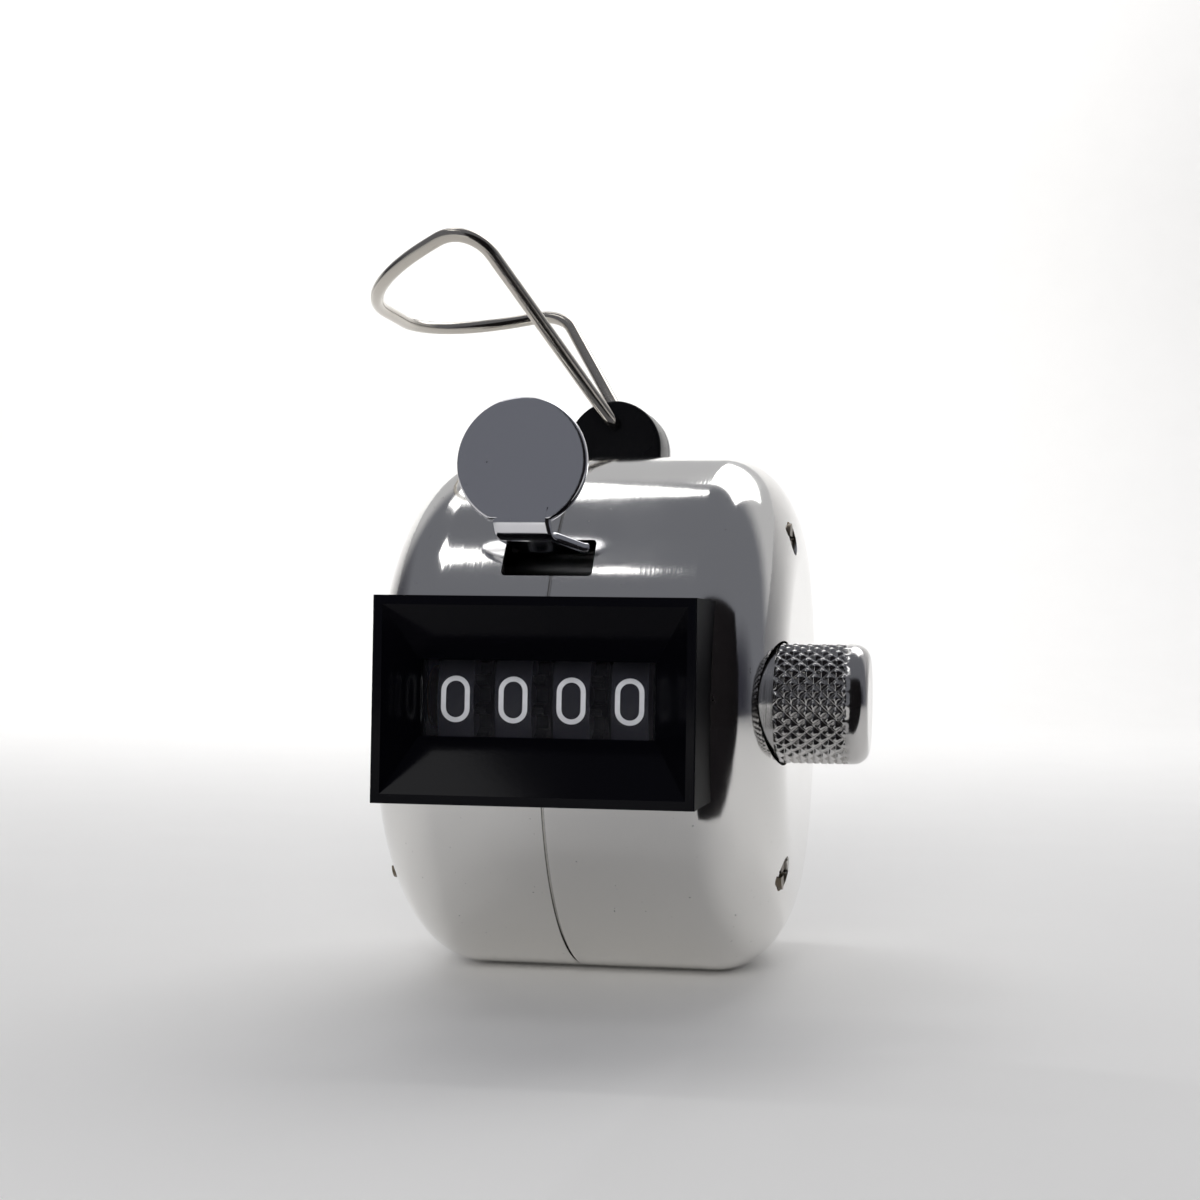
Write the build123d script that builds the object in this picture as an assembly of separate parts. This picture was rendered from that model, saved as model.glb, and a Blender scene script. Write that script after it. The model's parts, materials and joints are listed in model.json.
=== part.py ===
from build123d import *
from math import cos, radians, sin, sqrt
import os

# Hand tally counter, four digits, in millimetres.
# X runs along the drum axis from the flat left side face (x = 0) to the reset knob.
# -Y is the window side, +Z is up, and the drum axis is the X axis.

os.makedirs("parts", exist_ok=True)

# ---- driving dimensions ----------------------------------------------------------------
case_r = 22.5            # drum radius
case_width = 34.0        # drum width between its flat side faces
edge_axial = 6.8         # rounded shoulder, measured along the axis
edge_radial = 9.1        # rounded shoulder, measured along the radius
wall = 0.6               # sheet steel of the two shells
seam_x = 15.6            # where the two shells meet

shaft_at = (-14.5, 1.3)  # axis of the number wheels and the reset knob (y, z)
shaft_r = 1.5
wheel_r = 8.3
wheel_pitch = 4.6
first_wheel_x = 9.1      # middle of the thousands wheel
running = 0.05           # radial clearance of a running fit

lever_at = (-8.5, 12.0)  # pivot of the thumb lever (y, z)
sheet = 0.9              # sheet steel of the thumb lever

gear_teeth = 20
pinion_teeth = 8
module = 0.75
mesh_angle = -40.0       # direction from the wheel axis to the pinion axis, from +Y to +Z

ring_wire_r = 0.62
ring_pivot_z = 26.4

# ---- values worked out from them -------------------------------------------------------
wheel_names = ["thousands", "hundreds", "tens", "units"]
wheel_x = [first_wheel_x + wheel_pitch * i for i in range(4)]
centre_distance = module * (gear_teeth + pinion_teeth) / 2
pinion_at = (shaft_at[0] + centre_distance * cos(radians(mesh_angle)),
             shaft_at[1] + centre_distance * sin(radians(mesh_angle)))


# ---- helpers ---------------------------------------------------------------------------
def rod(x0, x1, radius, at):
    """A round bar along X between two stations, centred on (y, z)."""
    return Pos((x0 + x1) / 2, at[0], at[1]) * Rot(0, 90, 0) * Cylinder(radius, x1 - x0)


def tube(x0, x1, outer, inner, at):
    """A round bar along X with a through bore."""
    return rod(x0, x1, outer, at) - rod(x0 - 1, x1 + 1, inner, at)


def block(x0, x1, y0, y1, z0, z1):
    """A box between two corners, given as x, y and z spans."""
    return Pos((x0 + x1) / 2, (y0 + y1) / 2, (z0 + z1) / 2) * Box(x1 - x0, y1 - y0, z1 - z0)


def side_plate(points, x0, x1):
    """A flat plate cut to a (y, z) outline, from x0 to x1."""
    return extrude(Plane.YZ.offset(x0) * make_face(Polyline(*points, close=True)), x1 - x0)


def link(ends, radius, x0, x1):
    """A plate between two (y, z) points with round ends."""
    (y0, z0), (y1, z1) = ends
    length = sqrt((y1 - y0) ** 2 + (z1 - z0) ** 2)
    side = ((z0 - z1) / length * radius, (y1 - y0) / length * radius)
    strip = side_plate([(y0 + side[0], z0 + side[1]), (y1 + side[0], z1 + side[1]),
                        (y1 - side[0], z1 - side[1]), (y0 - side[0], z0 - side[1])], x0, x1)
    return strip + rod(x0, x1, radius, ends[0]) + rod(x0, x1, radius, ends[1])


def polar(at, radius, angle):
    """The (y, z) point at a radius and an angle from +Y towards +Z."""
    return (at[0] + radius * cos(radians(angle)), at[1] + radius * sin(radians(angle)))


def toothed(at, teeth, radii, widths, first, x0, x1):
    """A spur gear: radii and half-widths in degrees at root, pitch and tip."""
    points = []
    for i in range(teeth):
        mid = first + 360 / teeth * i
        points += [polar(at, r, mid - w) for r, w in zip(radii, widths)]
        points += [polar(at, r, mid + w) for r, w in zip(reversed(radii), reversed(widths))]
    return side_plate(points, x0, x1)


def coil(x0, x1, radius, wire_r, turns, at):
    """A coil spring's wire wound about an axis along X."""
    path = Helix((x1 - x0) / turns, x1 - x0, radius, center=(x0, at[0], at[1]), direction=(1, 0, 0))
    section = Plane(origin=path @ 0, z_dir=path % 0) * Circle(wire_r)
    return sweep(section, path=path, is_frenet=True)


def write(name, *solids):
    """Writes one node: a single solid, or a group of like ones."""
    shape = solids[0] if len(solids) == 1 else Compound(children=list(solids))
    export_step(shape, f"parts/{name}.step")


# ---- drum shells -----------------------------------------------------------------------
def drum(inset):
    """The full drum, turned about X, smaller by inset all over."""
    rx = edge_axial - inset
    ry = edge_radial - inset
    flat_r = case_r - edge_radial
    left = inset
    right = case_width - inset
    outline = [Line((left, 0), (left, flat_r)),
               EllipticalCenterArc((left + rx, flat_r), rx, ry, 90, arc_size=90),
               Line((left + rx, case_r - inset), (right - rx, case_r - inset)),
               EllipticalCenterArc((right - rx, flat_r), rx, ry, 0, arc_size=90),
               Line((right, flat_r), (right, 0)),
               Line((right, 0), (left, 0))]
    return revolve(make_face(outline), Axis.X, 360)


drum_outer = drum(0)
drum_inner = drum(wall)

lip_reach = 2.4          # the left shell's joggled lip under the right shell
lip_inner_r = case_r - 2 * wall
seam_chamfer = 0.15
slot_x = (11.5, 18.9)    # lever slot across the seam
slot_z = (11.2, 14.2)
front_x = (6.3, 25.6)    # opening behind the window frame
front_z = (-4.9, 7.5)
recess_r = 5.0           # round opening about the knob's neck

lever_slot = block(*slot_x, -24, -14, *slot_z)
front_opening = block(*front_x, -24, -18, *front_z)
knob_recess = rod(30, 36, recess_r, shaft_at)

# side screws: (y, z) on the shoulder, the same on both sides
side_screw_at = [(-6.5, 15.0), (-10.3, -12.9)]
screw_head_r = 1.3
screw_sink = 0.5         # head face below the flat side face
screw_shank_r = 0.8
screw_head = 1.0
screw_length = 3.6
screw_slot_depth = 0.4
screw_slot_half = 0.2

# finger ring holder: a boss on the top rear of the drum, over the seam
holder_r = 4.4
holder_y = (6.2, 11.6)
holder_cap_y = (11.6, 12.6)
holder_z = 24.1
stem_angle = 66.5        # the radial direction of its stem, from +Y to +Z
stem_r = 1.6


def radial_pin(r0, r1, radius):
    """A pin along the stem's radial direction, from one drum radius to another."""
    mid = (r0 + r1) / 2
    y, z = polar((0, 0), mid, stem_angle)
    return Pos(seam_x, y, z) * Rot(stem_angle - 90, 0, 0) * Cylinder(radius, r1 - r0)


drum_axis = (0, 0)
openings = lever_slot + front_opening + knob_recess + radial_pin(19, 25, stem_r)


def seam_groove():
    """A small chamfer all round both shell edges at the seam."""
    c = seam_chamfer
    outline = Polyline((seam_x - c, case_r + 0.01), (seam_x + c, case_r + 0.01), (seam_x, case_r - c),
                       close=True)
    return revolve(make_face(outline), Axis.X, 360)


left_cup = drum_outer & block(-1, seam_x, -30, 30, -30, 30)
left_cup += rod(seam_x, seam_x + lip_reach, case_r - wall, drum_axis)
left_cup -= drum_inner & block(-1, seam_x - lip_reach, -30, 30, -30, 30)
left_cup -= rod(seam_x - lip_reach - 0.1, seam_x + lip_reach + 1, lip_inner_r, drum_axis)
right_cup = (drum_outer - drum_inner) & block(seam_x, 40, -30, 30, -30, 30)


def side_screw(at, side):
    """A slotted screw: cheese head on the shoulder and shank into its post. side is -1 or 1."""
    face = screw_sink if side < 0 else case_width - screw_sink
    head = rod(*sorted((face, face - side * screw_head)), screw_head_r, at)
    shank = rod(*sorted((face, face - side * screw_length)), screw_shank_r, at)
    slot = block(*sorted((face, face - side * screw_slot_depth)), at[0] - 2, at[0] + 2,
                 at[1] - screw_slot_half, at[1] + screw_slot_half)
    return head + shank - slot


left_screws = [side_screw(at, -1) for at in side_screw_at]
right_screws = [side_screw(at, 1) for at in side_screw_at]

left_shell = left_cup - openings - seam_groove()
right_shell = right_cup - openings - seam_groove()
for screw in left_screws:
    left_shell -= screw
for screw in right_screws:
    right_shell -= screw
write("left_shell", left_shell)
write("right_shell", right_shell)
write("left_side_screws", *left_screws)
write("right_side_screws", *right_screws)

# ---- window frame and lens -------------------------------------------------------------
frame_x = (4.48, 28.89)
frame_z = (-6.2, 9.32)
frame_front = -30.0
frame_rim = 0.7          # flat border round the funnel
window_x = (7.1, 25.33)
window_z = (-1.32, 4.52)
window_y = -26.5         # bottom of the funnel
lens_front = -25.7
lens_thickness = 0.5


def rectangle_at(y, x_span, z_span):
    """A rectangle in the XZ plane at a station y."""
    centre = Pos((x_span[0] + x_span[1]) / 2, (z_span[0] + z_span[1]) / 2)
    return Plane.XZ.offset(-y) * centre * Rectangle(x_span[1] - x_span[0], z_span[1] - z_span[0])


rim_x = (frame_x[0] + frame_rim, frame_x[1] - frame_rim)
rim_z = (frame_z[0] + frame_rim, frame_z[1] - frame_rim)
funnel = loft([rectangle_at(frame_front, rim_x, rim_z), rectangle_at(window_y, window_x, window_z)])
pocket = block(5.7, 27.5, lens_front, -18, -5.0, 8.1)
window_bezel = block(*frame_x, frame_front, -18, *frame_z) - funnel - pocket
window_bezel -= block(*window_x, window_y - 0.1, lens_front + 0.1, *window_z)
window_bezel -= drum_outer
write("window_bezel", window_bezel)
write("window_lens", block(6.0, 26.4, lens_front, lens_front + lens_thickness, -2.5, 5.7))

# ---- chassis ---------------------------------------------------------------------------
left_plate_x = (4.1, 4.9)
right_plate_x = (28.4, 29.2)
plate_r = 19.6
tie_rod_at = [(14.0, 8.0), (14.0, -8.0), (-3.0, -16.5)]
tie_rod_r = 1.5
cradle_at = (pinion_at[0] + 8 * cos(radians(50)), pinion_at[1] + 8 * sin(radians(50)))
bush_r = 2.6
axle_r = 1.0             # lever axle and cradle axle
lightening_r = 5.5
lightening_at = (6.5, -1.0)
post_r = 1.8


def chassis_plate(span):
    """A round side plate with its lightening hole and the holes for bush, axles and screws."""
    plate = rod(*span, plate_r, drum_axis)
    holes = [(lightening_r, lightening_at), (bush_r, shaft_at), (axle_r, lever_at), (axle_r, cradle_at)]
    holes += [(screw_shank_r, at) for at in tie_rod_at]
    for radius, at in holes:
        plate -= rod(span[0] - 1, span[1] + 1, radius, at)
    return plate


write("left_chassis_plate", chassis_plate(left_plate_x))
write("right_chassis_plate", chassis_plate(right_plate_x))
for number, at in enumerate(tie_rod_at):
    bar = rod(left_plate_x[1], right_plate_x[0], tie_rod_r, at)
    bar -= rod(left_plate_x[1] - 1, left_plate_x[1] + 4, screw_shank_r, at)
    bar -= rod(right_plate_x[0] - 4, right_plate_x[0] + 1, screw_shank_r, at)
    write(f"tie_rod_{number + 1}", bar)


def chassis_screw(at, side):
    """A pan head on the outside of a chassis plate, with its shank in the tie rod."""
    face = left_plate_x[0] if side < 0 else right_plate_x[1]
    head = rod(*sorted((face, face + side * 0.9)), 1.7, at)
    shank = rod(*sorted((face, face - side * 4.2)), screw_shank_r, at)
    return head + shank


write("chassis_screws", *[chassis_screw(at, side) for at in tie_rod_at for side in (-1, 1)])
write("left_shell_posts", *[(rod(0.5, left_plate_x[0], post_r, at) & drum_inner) - left_screws[i]
                            for i, at in enumerate(side_screw_at)])
write("right_shell_posts", *[(rod(right_plate_x[1], 33.5, post_r, at) & drum_inner) - right_screws[i]
                             for i, at in enumerate(side_screw_at)])
write("left_shaft_bush", tube(3.9, 5.1, bush_r, shaft_r + running, shaft_at))
write("right_shaft_bush", tube(28.2, 29.4, bush_r, shaft_r + running, shaft_at))

# ---- reset shaft and knob --------------------------------------------------------------
knob_x = (33.35, 40.75)
knob_r = 4.8
neck_x = (31.6, 33.35)
neck_r = 4.6
shaft_x = (3.0, 38.0)
pick_depth = 0.4         # long groove that the pick-up pawls drop into
clip_x = [(3.3, 3.7), (29.6, 30.0)]
clip_r = 2.3
clip_root_r = shaft_r - 0.3
washer_r = 2.6
knob_round = 1.3

pick_groove = block(6.0, 26.0, shaft_at[0] - shaft_r - 1, shaft_at[0] - shaft_r + pick_depth,
                    shaft_at[1] - 0.35, shaft_at[1] + 0.35)
knob_pin = Pos((neck_x[0] + neck_x[1]) / 2, *shaft_at) * Cylinder(0.5, 2 * neck_r)
reset_shaft = rod(*shaft_x, shaft_r, shaft_at) - pick_groove - knob_pin
for span in clip_x:
    reset_shaft -= tube(*span, 2, clip_root_r, shaft_at)
write("reset_shaft", reset_shaft)

knob_body = rod(*knob_x, knob_r, shaft_at)
knob_body = fillet(knob_body.edges().filter_by(GeomType.CIRCLE).sort_by(Axis.X)[-1], knob_round)
knob_body = chamfer(knob_body.edges().filter_by(GeomType.CIRCLE).sort_by(Axis.X)[0], 0.3)
reset_knob = knob_body + rod(*neck_x, neck_r, shaft_at)
reset_knob -= rod(neck_x[0] - 1, shaft_x[1], shaft_r, shaft_at) + knob_pin
write("reset_knob", reset_knob)
write("knob_pin", knob_pin)


def retaining_clip(x0, x1):
    """An open snap ring in a groove of the shaft."""
    ring = tube(x0, x1, clip_r, clip_root_r, shaft_at)
    return ring - block(x0 - 1, x1 + 1, shaft_at[0], shaft_at[0] + 4, shaft_at[1] - 0.8, shaft_at[1] + 0.8)


write("shaft_clips", *[retaining_clip(*span) for span in clip_x])
write("left_thrust_washer", tube(5.2, 6.7, washer_r, shaft_r, shaft_at))
write("right_thrust_washer", tube(26.2, 27.2, washer_r, shaft_r, shaft_at))

cam_x = (27.3, 28.0)
cam_r = 3.0
lobe_reach = 3.4
cam_lobe = link([shaft_at, polar(shaft_at, lobe_reach, 140)], 1.5, *cam_x)
reset_cam = rod(*cam_x, cam_r, shaft_at) + cam_lobe - rod(26, 29, shaft_r, shaft_at)
write("reset_cam", reset_cam)

# ---- number wheels ---------------------------------------------------------------------
transfer_side = (-2.25, -1.65)   # lock ring and two-tooth lug, on the left of each wheel
band_side = (-1.65, 1.25)        # the rim that carries the numerals
gear_side = (1.25, 2.2)          # twenty-tooth gear, on the right
pitch_r = module * gear_teeth / 2
lock_r = 6.3
lug_r = 7.7
star_x = (25.1, 26.1)
star_r = 3.5


def number_wheel(x, has_gear):
    """One wheel: numeral band, transfer side on its left, gear (or a plain hub) on its right."""
    wheel = rod(x + band_side[0], x + band_side[1], wheel_r, shaft_at)
    wheel += rod(x + transfer_side[0], x + transfer_side[1], lock_r, shaft_at)
    for angle in (mesh_angle + 171, mesh_angle + 189):
        root = polar(shaft_at, lock_r - 0.5, angle)
        wheel += link([root, polar(shaft_at, lug_r - 0.4, angle)], 0.4,
                      x + transfer_side[0], x + transfer_side[1])
    if has_gear:
        wheel += toothed(shaft_at, gear_teeth, (pitch_r - 0.9, pitch_r, pitch_r + 0.6),
                         (4.3, 3.3, 1.6), mesh_angle + 9, x + gear_side[0], x + gear_side[1])
    else:
        wheel += rod(x + gear_side[0], x + gear_side[1], lock_r, shaft_at)
    return wheel - rod(x - 3, x + 3, shaft_r + running, shaft_at) - pawl_pocket(x, 0)


def pawl_pocket(x, gap):
    """The pick-up pawl's seat beside the shaft, smaller by gap where the pawl itself is meant."""
    outer = shaft_at[0] - shaft_r - running
    return block(x - 0.9 + gap, x + 0.5 - gap, outer - 1.6 + gap, outer + 0.3,
                 shaft_at[1] - 0.3 + gap, shaft_at[1] + 0.3 - gap)


for name, x in zip(wheel_names, wheel_x):
    write(f"{name}_wheel", number_wheel(x, name != "units"))
    pawl = pawl_pocket(x, 0) - rod(x - 3, x + 3, shaft_r + running, shaft_at)
    write(f"{name}_pickup_pawl", pawl)

star_points = [polar(shaft_at, r, a0 + 36 * i) for i in range(10) for r, a0 in ((2.3, 0), (star_r, 15))]
star = side_plate(star_points, *star_x) - rod(25, 27, shaft_r + running, shaft_at)
write("units_ratchet", star)

# ---- transfer pinions on their lifting cradle ------------------------------------------
pinion_rod_r = 0.8
cradle_bar_r = 0.8
pinion_pitch_r = module * pinion_teeth / 2
arm_left_x = (5.3, 6.0)
arm_right_x = (27.3, 28.0)
cradle_bar_at = (cradle_at[0] + 3 * cos(radians(50)), cradle_at[1] + 3 * sin(radians(50)))


def cradle_arm(span, finger):
    """An arm of the cradle; the right one also has a finger that the reset cam lifts."""
    arm = link([pinion_at, cradle_at], 1.8, *span) + link([cradle_at, cradle_bar_at], 1.8, *span)
    if finger:
        arm += link([pinion_at, polar(shaft_at, 6.3, mesh_angle)], 0.7, *span)
    arm -= rod(span[0] - 1, span[1] + 1, pinion_rod_r + running, pinion_at)
    arm -= rod(span[0] - 1, span[1] + 1, axle_r + running, cradle_at)
    return arm - rod(span[0] - 1, span[1] + 1, cradle_bar_r, cradle_bar_at)


write("left_cradle_arm", cradle_arm(arm_left_x, False))
write("right_cradle_arm", cradle_arm(arm_right_x, True))
write("cradle_bar", rod(arm_left_x[0], arm_right_x[1], cradle_bar_r, cradle_bar_at))
write("cradle_axle", rod(left_plate_x[0], right_plate_x[1], axle_r, cradle_at))
write("pinion_rod", rod(arm_left_x[0] - 0.1, arm_right_x[1] + 0.1, pinion_rod_r, pinion_at))
for name, x in list(zip(wheel_names, wheel_x))[:3]:
    pinion = toothed(pinion_at, pinion_teeth, (pinion_pitch_r - 0.9, pinion_pitch_r, pinion_pitch_r + 0.55),
                     (9.5, 8.0, 3.5), mesh_angle + 180, x + gear_side[0] + 0.05, x + gear_side[1])
    pinion -= rod(x, x + 4, pinion_rod_r + running, pinion_at)
    write(f"{name}_pinion", pinion)
write("cradle_spring", coil(7.0, 9.0, 1.6, 0.2, 4, cradle_at))

# ---- thumb lever -----------------------------------------------------------------------
sleeve_r = 1.7
pad_r = 5.33
pad_x = 13.16
pad_z = 20.2
pad_lean = 6.0           # top of the pad leans back, degrees
tongue_back = (-7.6, 14.1)
tongue_slot = (-17.9, 13.45)
tongue_front = (-20.15, 14.4)
pad_top = (tongue_front[0] + 12 * sin(radians(pad_lean)), tongue_front[1] + 12 * cos(radians(pad_lean)))

side_line = FilletPolyline(tongue_back, tongue_slot, tongue_front, pad_top, radius=1.0)
side_view = Plane.YZ * trace(side_line, sheet)
bent_sheet = extrude(side_view, 30)
pad_outline = (Pos(pad_x, -19.5, pad_z) * Rot(90, 0, 0) * Cylinder(pad_r, 5)
               - block(0, 30, -30, -10, 5, 15.4))
tongue_plan = make_face(Polyline((10.9, -22), (15.5, -22), (15.5, -20.1), (18.4, -17.9), (18.4, -7.0),
                                 (12.8, -7.0), (12.8, -17.9), (10.9, -20.1), close=True))
tongue_outline = extrude(Plane.XY.offset(10) * tongue_plan, 5.9)
thumb_lever = bent_sheet & (pad_outline + tongue_outline)

dish_depth = 0.3
dish_r = pad_r - 0.6     # the pad's face is dished by a shallow sphere inside its rim
dish_ball = (dish_r ** 2 + dish_depth ** 2) / (2 * dish_depth)
face_y = tongue_front[0] + (pad_z - tongue_front[1]) * sin(radians(pad_lean)) - sheet / 2
dish_centre = (face_y - (dish_ball - dish_depth) * cos(radians(pad_lean)),
               pad_z + (dish_ball - dish_depth) * sin(radians(pad_lean)))
thumb_lever -= Pos(pad_x, *dish_centre) * Sphere(dish_ball)
lever_sleeve = tube(10.5, 26.2, sleeve_r, axle_r + running, lever_at)
thumb_lever -= rod(5, 30, sleeve_r, lever_at)
write("thumb_lever", thumb_lever)

verge_x = (25.3, 26.0)
verge = side_plate([(-8.0, 9.6), (-9.0, 1.2), (-10.4, 1.2), (-10.5, 2.6), (-10.1, 7.0), (-11.6, 9.0),
                    (-15.0, 8.0), (-16.6, 6.1), (-17.4, 6.6), (-16.4, 8.6), (-12.6, 11.2), (-9.5, 13.2)],
                   *verge_x)
verge = verge + rod(*verge_x, 2.6, lever_at) - rod(20, 30, sleeve_r, lever_at)
write("drive_verge", verge)
write("lever_sleeve", lever_sleeve)
write("lever_axle", rod(left_plate_x[0], right_plate_x[1], axle_r, lever_at))
write("lever_spring", coil(5.6, 10.0, 1.75, 0.28, 5, lever_at))

# ---- wheel detent comb -----------------------------------------------------------------
comb_z = (-11.2, -10.8)
comb_bar_y = -7.0
comb_bar_half = 1.4
comb_rivet_x = (10.0, 22.0)
finger_x = (0.9, 1.9)    # each spring finger, from half a pitch left of its wheel

comb = block(7.0, 25.0, -9.0, -5.0, *comb_z)
for x in wheel_x:
    start = x - wheel_pitch / 2
    comb += block(start + finger_x[0], start + finger_x[1], -14.6, -8.5, *comb_z)
comb_bar = block(left_plate_x[1], right_plate_x[0], comb_bar_y - comb_bar_half, comb_bar_y + comb_bar_half,
                 -13.0, comb_z[0])
write("detent_comb", comb)
write("comb_bar", comb_bar)
write("comb_rivets", *[Pos(x, comb_bar_y, -10.55) * Cylinder(0.9, 0.5) for x in comb_rivet_x])

# ---- finger ring and its holder --------------------------------------------------------
holder_mid_y = 9.0
hole_r = ring_wire_r + 0.08


def along_y(y0, y1, radius, z):
    """A round bar along Y over the seam."""
    return Pos(seam_x, (y0 + y1) / 2, z) * Rot(90, 0, 0) * Cylinder(radius, y1 - y0)


ring_hole = along_y(0, 20, hole_r, ring_pivot_z)
holder_block = along_y(*holder_y, holder_r, holder_z)
holder_block += block(seam_x - holder_r, seam_x + holder_r, *holder_y, 17, holder_z)
ring_holder = (holder_block - drum_outer) + radial_pin(21.1, 24, stem_r)
ring_holder -= ring_hole + radial_pin(20, 24.4, 0.9)
write("ring_holder", ring_holder)
holder_cap = along_y(*holder_cap_y, holder_r, holder_z) - drum_outer - ring_hole
write("holder_cap", holder_cap)
holder_screw = radial_pin(20.2, 21.1, 2.2) + radial_pin(21.1, 24.3, 0.9)
write("holder_screw", holder_screw)

# The head is bent by hand, so its front and rear corners differ a little.
front_corner = (5.4, -8.7, 42.1)
rear_corner = (6.2, 26.1, 40.3)
head_end_x = -6.9
head_end_y = (-3.0, 22.9)
head_end_z = 37.3
ring_path = FilletPolyline(
    (seam_x, holder_mid_y - 0.3, ring_pivot_z), (seam_x, 5.0, ring_pivot_z), front_corner,
    (head_end_x, head_end_y[0], head_end_z), (head_end_x, head_end_y[1], head_end_z), rear_corner,
    (seam_x, 13.6, ring_pivot_z), (seam_x, holder_mid_y + 0.7, ring_pivot_z),
    radius=[1.3, 3.3, 15.2, 12.8, 3.3, 1.3])
ring_section = Plane(origin=ring_path @ 0, z_dir=ring_path % 0) * Circle(ring_wire_r)
write("finger_ring", sweep(ring_section, path=ring_path))
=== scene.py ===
import json
import math
import bmesh
import bpy
import numpy as np
from mathutils import Matrix, Vector


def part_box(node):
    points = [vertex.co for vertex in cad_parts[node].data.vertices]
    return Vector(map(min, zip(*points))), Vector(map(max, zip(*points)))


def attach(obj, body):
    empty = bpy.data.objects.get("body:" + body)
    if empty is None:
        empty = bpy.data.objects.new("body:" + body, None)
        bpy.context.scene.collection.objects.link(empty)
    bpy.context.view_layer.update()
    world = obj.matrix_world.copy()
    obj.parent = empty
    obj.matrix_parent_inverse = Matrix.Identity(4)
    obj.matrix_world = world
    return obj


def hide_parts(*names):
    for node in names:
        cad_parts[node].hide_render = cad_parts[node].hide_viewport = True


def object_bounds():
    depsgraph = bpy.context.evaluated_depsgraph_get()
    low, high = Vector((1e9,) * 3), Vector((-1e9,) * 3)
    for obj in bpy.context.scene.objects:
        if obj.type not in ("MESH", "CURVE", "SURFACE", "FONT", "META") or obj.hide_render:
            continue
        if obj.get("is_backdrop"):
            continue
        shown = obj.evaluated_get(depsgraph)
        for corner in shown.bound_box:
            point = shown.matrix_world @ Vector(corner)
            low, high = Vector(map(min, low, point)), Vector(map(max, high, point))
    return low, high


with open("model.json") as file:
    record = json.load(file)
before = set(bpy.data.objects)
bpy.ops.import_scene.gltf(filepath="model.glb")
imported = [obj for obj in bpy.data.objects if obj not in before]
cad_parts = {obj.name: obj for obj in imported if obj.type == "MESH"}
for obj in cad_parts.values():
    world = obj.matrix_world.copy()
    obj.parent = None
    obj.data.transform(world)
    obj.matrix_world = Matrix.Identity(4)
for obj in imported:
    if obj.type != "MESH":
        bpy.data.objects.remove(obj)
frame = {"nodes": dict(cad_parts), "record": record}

cad_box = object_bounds()
MM = 0.001


# ======================================================================================
# Table: a pale sweep with the camera a little to the right of the window and soft boxes
# overhead and to the left. The chrome mirrors a dim room in front and a dark card.
# ======================================================================================
drum_r = 22.5 * MM

camera = bpy.data.objects.new("camera", bpy.data.cameras.new("camera"))
bpy.context.scene.collection.objects.link(camera)
bpy.context.scene.camera = camera
camera.data.lens = 56.01
camera.data.shift_x = -0.0833
camera.data.clip_start = 0.005
yaw, pitch, roll = 0.14187, 0.02269, 0.01407
camera_place = Vector((48.27, -164.36, 6.09)) * MM
forward = Vector((-math.sin(yaw) * math.cos(pitch), math.cos(yaw) * math.cos(pitch),
                  math.sin(pitch)))
level = Vector((math.cos(yaw), math.sin(yaw), 0.0))
lift = level.cross(forward)
right = math.cos(roll) * level + math.sin(roll) * lift
up = math.cos(roll) * lift - math.sin(roll) * level
turn = Matrix((right, up, -forward)).transposed().to_4x4()
camera.matrix_world = Matrix.Translation(camera_place) @ turn


def place_mesh(name, points, faces):
    """An object at the origin whose mesh has these points, in metres, and these faces."""
    mesh = bpy.data.meshes.new(name)
    faces = faces.tolist() if isinstance(faces, np.ndarray) else faces
    mesh.from_pydata(np.asarray(points, float).tolist(), [], faces)
    piece = bpy.data.objects.new(name, mesh)
    bpy.context.scene.collection.objects.link(piece)
    return piece


class Socket:
    """A shader socket that can be summed like a number; each sum adds its Math node."""

    def __init__(self, tree, socket):
        self.tree = tree
        self.socket = socket

    def node(self, kind, settings, inputs, output=0):
        """A node of this kind: its settings first, then the values or links of its sockets."""
        made = self.tree.nodes.new(kind)
        for key, value in settings.items():
            setattr(made, key, value)
        for key, value in inputs.items():
            if isinstance(value, Socket):
                self.tree.links.new(value.socket, made.inputs[key])
            else:
                made.inputs[key].default_value = value
        return Socket(self.tree, made.outputs[output])

    def maths(self, operation, first, second=0.0):
        """A Math node on one or two numbers or sockets."""
        return self.node("ShaderNodeMath", {"operation": operation}, {0: first, 1: second})

    def __add__(self, other):
        return self.maths("ADD", self, other)

    def __radd__(self, other):
        return self.maths("ADD", other, self)

    def __sub__(self, other):
        return self.maths("SUBTRACT", self, other)

    def __rsub__(self, other):
        return self.maths("SUBTRACT", other, self)

    def __mul__(self, other):
        return self.maths("MULTIPLY", self, other)

    def __rmul__(self, other):
        return self.maths("MULTIPLY", other, self)

    def __abs__(self):
        return self.maths("ABSOLUTE", self)

    def __round__(self):
        return self.maths("ROUND", self)

    def step(self, low, high):
        """0 below low, 1 above high and a smooth rise between them."""
        return self.node("ShaderNodeMapRange", {"interpolation_type": "SMOOTHSTEP"},
                         {"Value": self, "From Min": low, "From Max": high})

    def mix(self, first, second):
        """The first colour where this value is 0 and the second where it is 1."""
        return self.node("ShaderNodeMix", {"data_type": "RGBA"},
                         {0: self, 6: first, 7: second}, output=2)


def start_material(name):
    """A new material and the Object coordinates that its pattern reads."""
    material = bpy.data.materials.new(name)
    material.use_nodes = True
    material.node_tree.nodes.clear()
    start = Socket(material.node_tree, None)
    return material, start.node("ShaderNodeTexCoord", {}, {}, output="Object")


def surface(material, place, values):
    """Gives the material its Principled shader with these values and links."""
    shader = place.node("ShaderNodeBsdfPrincipled", {}, values)
    out = place.tree.nodes.new("ShaderNodeOutputMaterial")
    place.tree.links.new(shader.socket, out.inputs["Surface"])
    return material


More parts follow.
